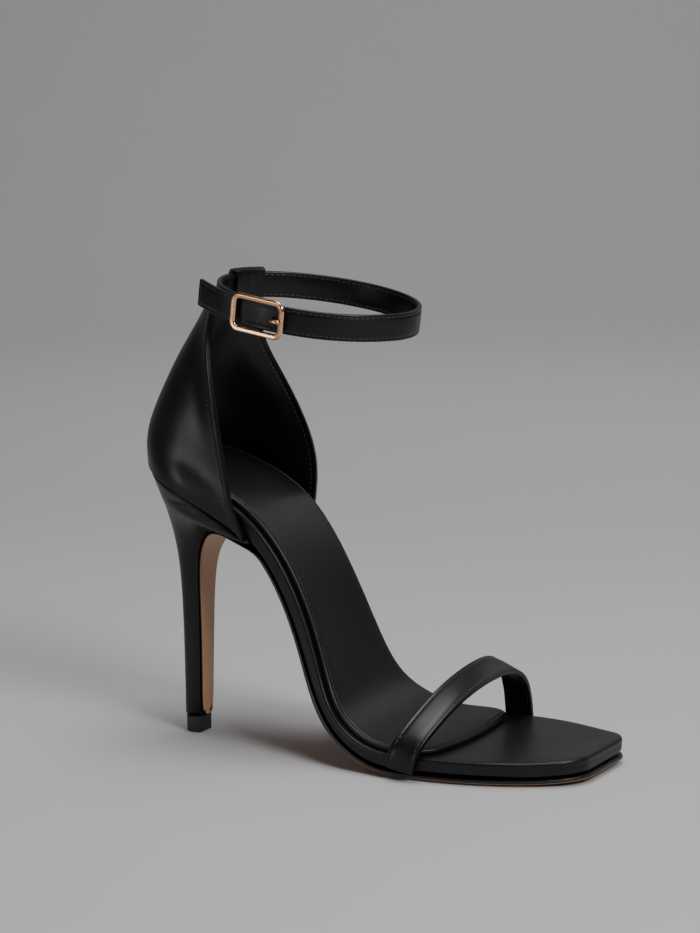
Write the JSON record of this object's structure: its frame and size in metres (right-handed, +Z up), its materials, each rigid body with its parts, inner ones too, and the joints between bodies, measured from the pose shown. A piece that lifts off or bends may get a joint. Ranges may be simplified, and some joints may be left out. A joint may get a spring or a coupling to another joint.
{
  "type": "strappy heeled sandal",
  "caption": "Open-toed sandal with a slim high heel, a closed heel counter, a toe strap and a buckled ankle strap.",
  "frame": {"origin": "centre of the shoe's footprint on the floor", "axes": "+X from the heel to the toe, +Y to the inner side of the foot, +Z up; this is the right shoe"},
  "size_m": [0.1952, 0.0856, 0.1886],
  "materials": {
    "outsole": "matt tan sole leather",
    "platform_leather": "smooth black leather",
    "sock_leather": "smooth black leather",
    "heel_leather": "smooth black leather",
    "top_piece_rubber": "matt",
    "counter_leather": "smooth black leather",
    "toe_strap_leather": "smooth black leather",
    "ankle_strap_leather": "smooth black leather",
    "buckle_frame_metal": "polished rose gold plate",
    "buckle_prong_metal": "polished rose gold plate"
  },
  "bodies": {
    "root": {"outsole": "outsole", "platform": "platform_leather", "sock": "sock_leather", "heel": "heel_leather", "top_piece": "top_piece_rubber", "counter": "counter_leather", "toe_strap": "toe_strap_leather", "ankle_strap": "ankle_strap_leather", "buckle_frame": "buckle_frame_metal", "buckle_prong": "buckle_prong_metal"}
  },
  "joints": []
}
